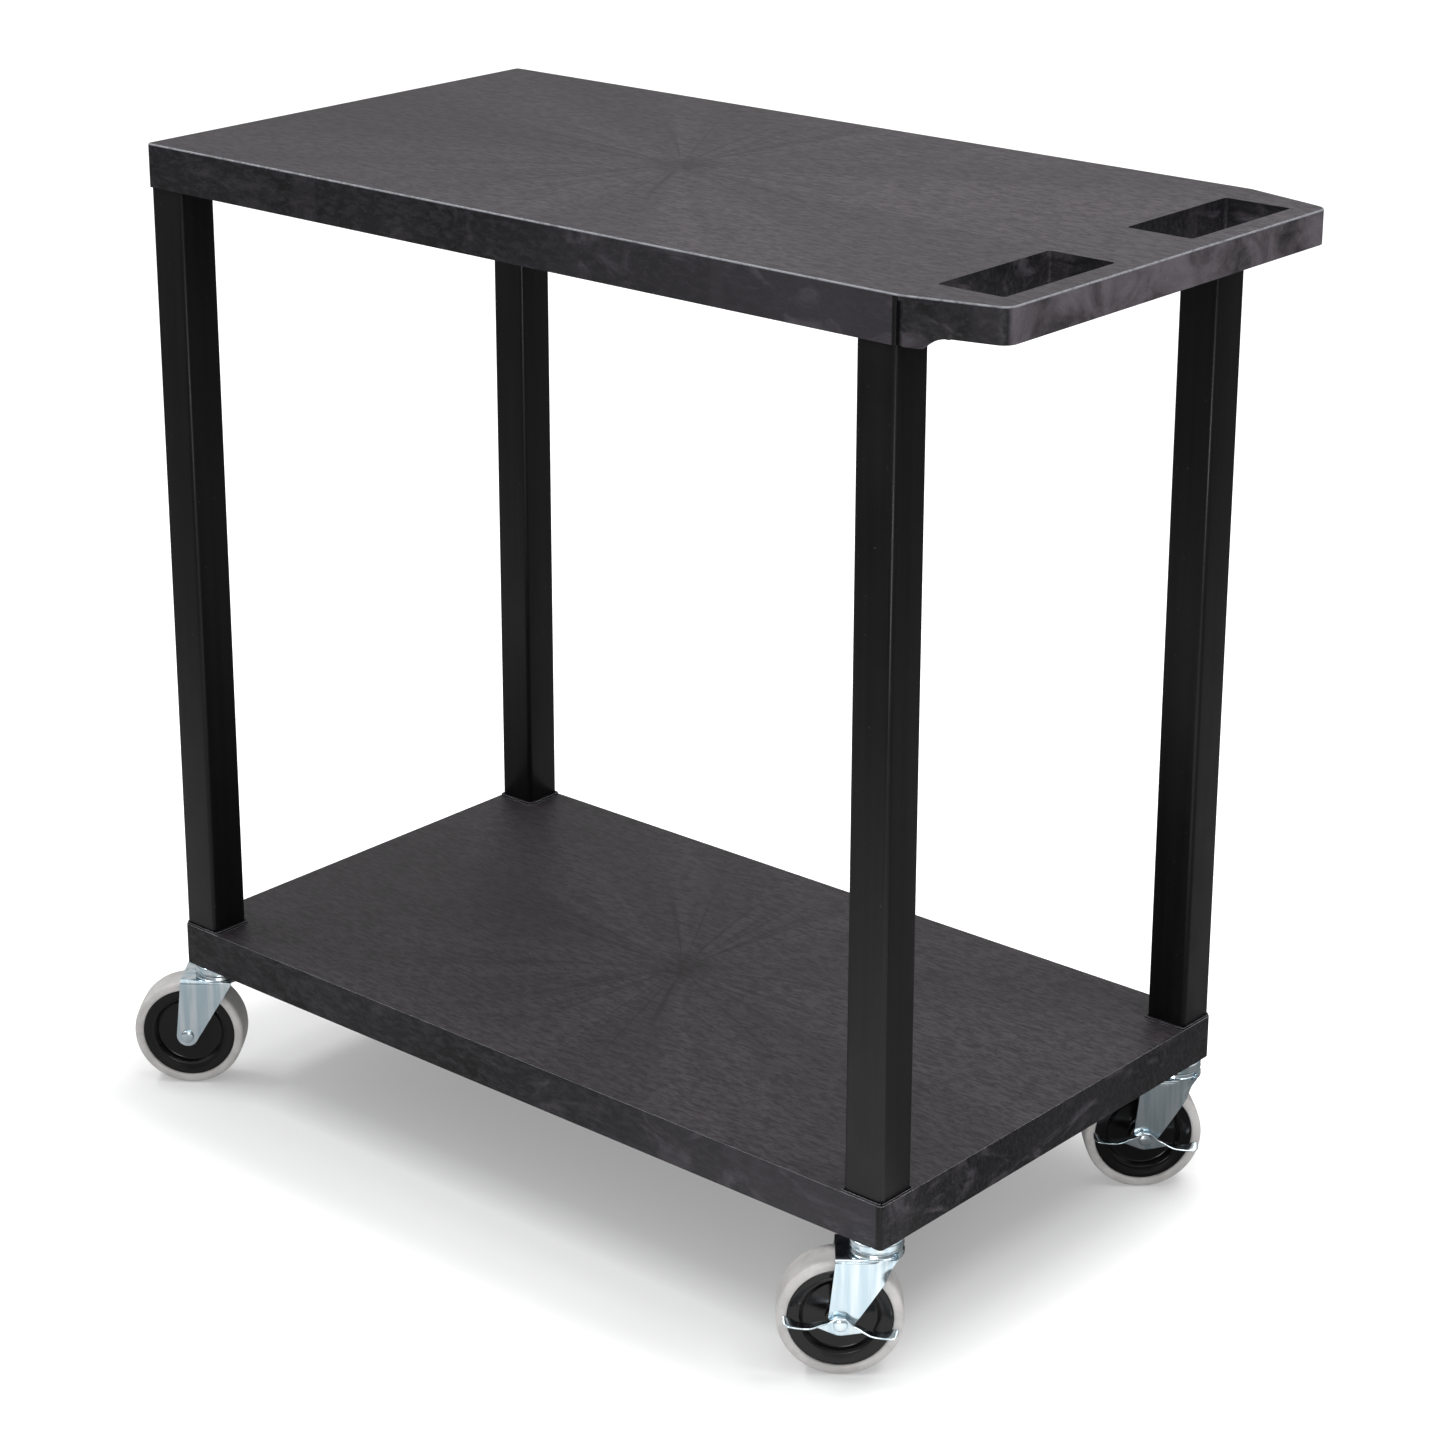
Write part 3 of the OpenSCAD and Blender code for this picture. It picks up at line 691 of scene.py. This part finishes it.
def fork(caster):
    """Pressed fork: flat crown, bent leg plates, and a raised ball seat."""
    wrap = 1.0 if caster.corner in BRAKED else 0.0
    rows = fork_rows(caster.trail / MM, caster.drop / MM, wrap)
    left = skin([[(x, -y, z) for x, y, z in points] for points in rows])
    right = skin(rows)
    plates = place_mesh("fork_plates", *add_shape(left, right), caster.at_stem())
    thick = plates.modifiers.new("sheet", "SOLIDIFY")
    thick.thickness = SHEET * MM
    thick.offset = -1
    thick.use_even_offset = True
    seat = [(5.1, -7.9), (18.8, -7.9)] + arc((18.8, -9.6), 1.7, 90, 10, 5) + [(20.9, -10.4)]
    seat += arc((22.6, -10.2), 1.6, 185, 260, 5)
    seat += [(22.3, -12.4), (19.5, -13.0), (18.6, -10.9), (5.1, -10.9)]
    verts, faces = turned(seat, PRESSED_STEPS, True)
    ring = place_mesh("fork_seat", verts, faces, caster.at_stem())
    piece = join("fork_pressing_" + caster.corner, [plates, ring])
    settle(piece, "fork_" + caster.corner)


def bake_modifiers(piece):
    """Replaces a piece's mesh with its evaluated mesh."""
    graph = bpy.context.evaluated_depsgraph_get()
    done = bpy.data.meshes.new_from_object(piece.evaluated_get(graph))
    piece.modifiers.clear()
    piece.data = done


def join(name, parts):
    """One object from several, with their modifiers applied."""
    shape = bmesh.new()
    for part in parts:
        bake_modifiers(part)
        shape.from_mesh(part.data)
        bpy.data.objects.remove(part)
    piece = linked(name, shape)
    piece.data.set_sharp_from_angle(angle=FOLD_ANGLE)
    return piece


# Brake pedal, in millimetres from the middle of the wheel
PEDAL_HALF = 45.8                           # half the ledge's length
PEDAL_TILT = 7.0                            # degrees, forward end down
PEDAL_SHEET = 1.4
PEDAL_PLATE = 24.3                          # the middle of the sheet, out along the axle
PLATE_HALF = 30.0                           # half the diamond plate's length
PLATE_LOW = -10.2                           # its lower tip
PLATE_ENDS = -1.6                           # height of its two end points
LEDGE_STEPS = 40
PLATE_STEPS = 26


def ledge_front(x):
    """Height of the ledge's outer edge: low arms and a hump over the axle."""
    reach = abs(x)
    hump = 4.9 * (1 - smoothstep((reach - 2) / 9.5)) + 4.3 * (1 - smoothstep((reach - 8) / 18))
    return -2.4 + hump + 0.8 * smoothstep((reach - 40) / 5.8)


def ledge_back(x):
    """Height of the bend between ledge and plate: the tips are cupped upward."""
    return ledge_front(x) + 3.4 * smoothstep((abs(x) - 34) / 8)


def pedal(caster):
    """Bow-tie ledge on top of a diamond plate, rocking about the axle."""
    ledge = []
    for x in [PEDAL_HALF * step / LEDGE_STEPS for step in range(-LEDGE_STEPS, LEDGE_STEPS + 1)]:
        reach = 4.6 + 6.2 * smoothstep((abs(x) - 4) / 28)
        corner = max(0.0, (abs(x) - 40) / (PEDAL_HALF - 40))
        reach *= math.sqrt(max(1 - 0.8 * corner ** 2.5, 0.05))
        ledge.append([(x, ledge_back(x) + (ledge_front(x) - ledge_back(x)) * part / 6,
                       PEDAL_PLATE + reach * part / 6) for part in range(0, 7)])
    plate = []
    for x in [PLATE_HALF * step / PLATE_STEPS for step in range(-PLATE_STEPS, PLATE_STEPS + 1)]:
        low = PLATE_LOW + (PLATE_ENDS - PLATE_LOW) * (math.hypot(x, 2.0) - 2.0) / (PLATE_HALF - 2.0)
        low = min(low, ledge_back(x) - 0.3)
        plate.append([(x, ledge_back(x) + (low - ledge_back(x)) * part / 6, PEDAL_PLATE)
                      for part in range(0, 7)])
    tilt = Matrix.Rotation(math.radians(-PEDAL_TILT), 4, "Z")
    piece = place_mesh("brake_rocker_" + caster.corner, *add_shape(skin(ledge), skin(plate)),
                       caster.at_axle() @ tilt)
    thick = piece.modifiers.new("sheet", "SOLIDIFY")
    thick.thickness = PEDAL_SHEET * MM
    thick.offset = 0
    soft = piece.modifiers.new("soft", "SUBSURF")
    soft.levels = soft.render_levels = 1
    bake_modifiers(piece)
    settle(piece, "brake_pedal_" + caster.corner)


def caster_pieces(caster):
    """Every finished piece of one caster."""
    tyre(caster)
    hub(caster)
    raceway(caster)
    bolt(caster)
    fork(caster)
    softened("axle_nut_soft_" + caster.corner, "axle_nut_" + caster.corner, 0.5 * MM)
    softened("stem_soft_" + caster.corner, "caster_stem_" + caster.corner, 0.4 * MM)
    if caster.corner in BRAKED:
        pedal(caster)


# ---------------------------------------------------------------- the cart

dress_frame()
moulding("deck_moulding", "top_deck", DECK_TOP, 1.6 * MM)
softened("shelf_moulding", "lower_shelf", 1.6 * MM, 4)
for corner in CORNERS:
    softened("leg_tube_" + corner, "leg_" + corner, 0.5 * MM, 2)
for one in CASTERS:
    caster_pieces(one)


# ---------------------------------------------------------------- stage, light and camera

FLOOR_SIZE = 40
FLOOR_UNDER = 0.27                          # the sheet's own glow under the cart
FLOOR_GLOW = 0.45                           # and away from it
FLOOR_IN_GLOSS = 0.20
SHADOW_CENTRE = (-0.05, 0.0, 0)             # the rectangle that the cart shades
SHADOW_HALF = (0.37, 0.22, 0)


def floor():
    """A pale sheet that glows, with a painted shadow under the cart; in reflections it shows a dimmer painted
    colour, as a small sweep does in a dark studio.
    """
    bpy.ops.mesh.primitive_plane_add(size=FLOOR_SIZE, location=(0, 0, 0))
    sheet = bpy.context.object
    sheet.name = "floor"
    shader = Shader("floor")
    tone = shader.remap(shader.noise(0.8, 2.0), 0.3, 0.7)
    reach = shader.node("ShaderNodeVectorMath", operation="LENGTH")
    shader.link(shader.place, reach.inputs[0])
    beyond = shader.node("ShaderNodeVectorMath", operation="LENGTH")
    past = shader.node("ShaderNodeVectorMath", operation="MAXIMUM")
    inside = shader.node("ShaderNodeVectorMath", operation="SUBTRACT")
    spread = shader.node("ShaderNodeVectorMath", operation="ABSOLUTE")
    centred = shader.node("ShaderNodeVectorMath", operation="SUBTRACT")
    shader.feed(centred.inputs[0], shader.place)
    centred.inputs[1].default_value = SHADOW_CENTRE
    shader.link(centred.outputs[0], spread.inputs[0])
    shader.link(spread.outputs[0], inside.inputs[0])
    inside.inputs[1].default_value = SHADOW_HALF
    shader.link(inside.outputs[0], past.inputs[0])
    past.inputs[1].default_value = (0, 0, 0)
    shader.link(past.outputs[0], beyond.inputs[0])
    # painted shadow: inside the rectangle that the cart shades, the sheet glows less and is blended towards dark
    # grey
    away = shader.remap(beyond.outputs["Value"], 0.05, 0.17, FLOOR_UNDER, FLOOR_GLOW)
    sheet_tone = shader.blend(tone, grey(0.70), grey(0.72))
    shaded = shader.remap(beyond.outputs["Value"], 0.04, 0.15, 0.42, 0.0)
    shader.finish(shader.blend(shaded, sheet_tone, grey(0.20, -0.02)), 0.9, specular=0.1)
    shader.surface.inputs["Emission Color"].default_value = (1, 1, 1, 1)
    shader.feed(shader.surface.inputs["Emission Strength"], away)
    # painted reflection: glossy rays see a separate floor colour, lighter towards +X, dark towards +Y and dim
    # further from the cart
    dark = shader.node("ShaderNodeBsdfDiffuse")
    spot = shader.node("ShaderNodeSeparateXYZ")
    shader.link(shader.place, spot.inputs["Vector"])
    near = shader.blend(shader.remap(spot.outputs["X"], -0.1, 0.45), grey(0.40), grey(0.85))
    near = shader.blend(shader.remap(spot.outputs["Y"], -0.15, 0.05), near, grey(0.16))
    outer = shader.remap(reach.outputs["Value"], 0.7, 1.5)
    shader.feed(dark.inputs["Color"], shader.blend(outer, near, grey(FLOOR_IN_GLOSS)))
    swap = shader.node("ShaderNodeMixShader")
    shader.link(shader.node("ShaderNodeLightPath").outputs["Is Glossy Ray"], swap.inputs[0])
    shader.link(shader.surface.outputs["BSDF"], swap.inputs[1])
    shader.link(dark.outputs["BSDF"], swap.inputs[2])
    shader.link(swap.outputs["Shader"], shader.output.inputs["Surface"])
    sheet.data.materials.append(shader.material)


def area_light(name, position, target, size, power):
    """A soft light, placed and aimed from the floor under the shelf's middle."""
    position, target = BELOW_CART + Vector(position), BELOW_CART + Vector(target)
    light = bpy.data.lights.new(name, "AREA")
    light.shape = "RECTANGLE"
    light.size, light.size_y = size
    light.energy = power
    holder = bpy.data.objects.new(name, light)
    holder.location = position
    holder.rotation_euler = (target - position).to_track_quat("-Z", "Y").to_euler()
    holder.visible_camera = False
    bpy.context.scene.collection.objects.link(holder)


def studio_world():
    """Bright overhead and dim at the horizon, so that upright faces stay dark."""
    world = bpy.data.worlds.new("studio")
    bpy.context.scene.world = world
    world.use_nodes = True
    tree = world.node_tree
    up = tree.nodes.new("ShaderNodeSeparateXYZ")
    tree.links.new(tree.nodes.new("ShaderNodeTexCoord").outputs["Generated"], up.inputs["Vector"])
    fade = tree.nodes.new("ShaderNodeMapRange")
    fade.interpolation_type = "SMOOTHSTEP"
    limits = (("From Min", 0.05), ("From Max", 0.85), ("To Min", HORIZON), ("To Max", ZENITH))
    for key, number in limits:
        fade.inputs[key].default_value = number
    tree.links.new(up.outputs["Z"], fade.inputs["Value"])
    tree.links.new(fade.outputs["Result"], tree.nodes["Background"].inputs["Strength"])
    tree.nodes["Background"].inputs["Color"].default_value = (1, 1, 1, 1)


HORIZON = 0.22
ZENITH = 1.15


def lights():
    studio_world()
    area_light("overhead", (0.3, 0.5, 3.2), (0, 0, 0.8), (3.0, 2.4), 62)
    area_light("left_strip", (-1.75, -0.9, 2.9), (0, 0, 0.6), (1.5, 0.35), 46)
    area_light("handle_side", (1.5, 0.15, 2.3), (0.45, 0, 0.85), (0.6, 0.6), 14)
    area_light("low_front", (1.3, -1.9, 0.55), (0.4, -0.2, 0.12), (0.6, 0.5), 15)


def camera():
    """Stands off the handle-end corner, looking down on the deck."""
    lens_per_width = 2.468
    yaw, pitch, roll = (math.radians(angle) for angle in (-42.14, 18.60, 0.34))
    stand = Vector((1.916, -2.176, 1.498))
    eye = bpy.data.cameras.new("camera")
    eye.sensor_width = 36
    eye.lens = lens_per_width * eye.sensor_width
    eye.shift_x = 0.060
    eye.shift_y = -0.100
    holder = bpy.data.objects.new("camera", eye)
    level = Vector((math.sin(yaw), math.cos(yaw), 0))
    forward = math.cos(pitch) * level - Vector((0, 0, math.sin(pitch)))
    right = Vector((math.cos(yaw), -math.sin(yaw), 0))
    down = forward.cross(right)
    right, down = (math.cos(roll) * right + math.sin(roll) * down,
                   math.cos(roll) * down - math.sin(roll) * right)
    turn = Matrix((right, -down, -forward)).transposed()
    holder.matrix_world = Matrix.Translation(BELOW_CART + stand) @ turn.to_4x4()
    bpy.context.scene.collection.objects.link(holder)
    bpy.context.scene.camera = holder


bpy.context.scene.view_settings.view_transform = "Standard"
floor()
lights()
camera()
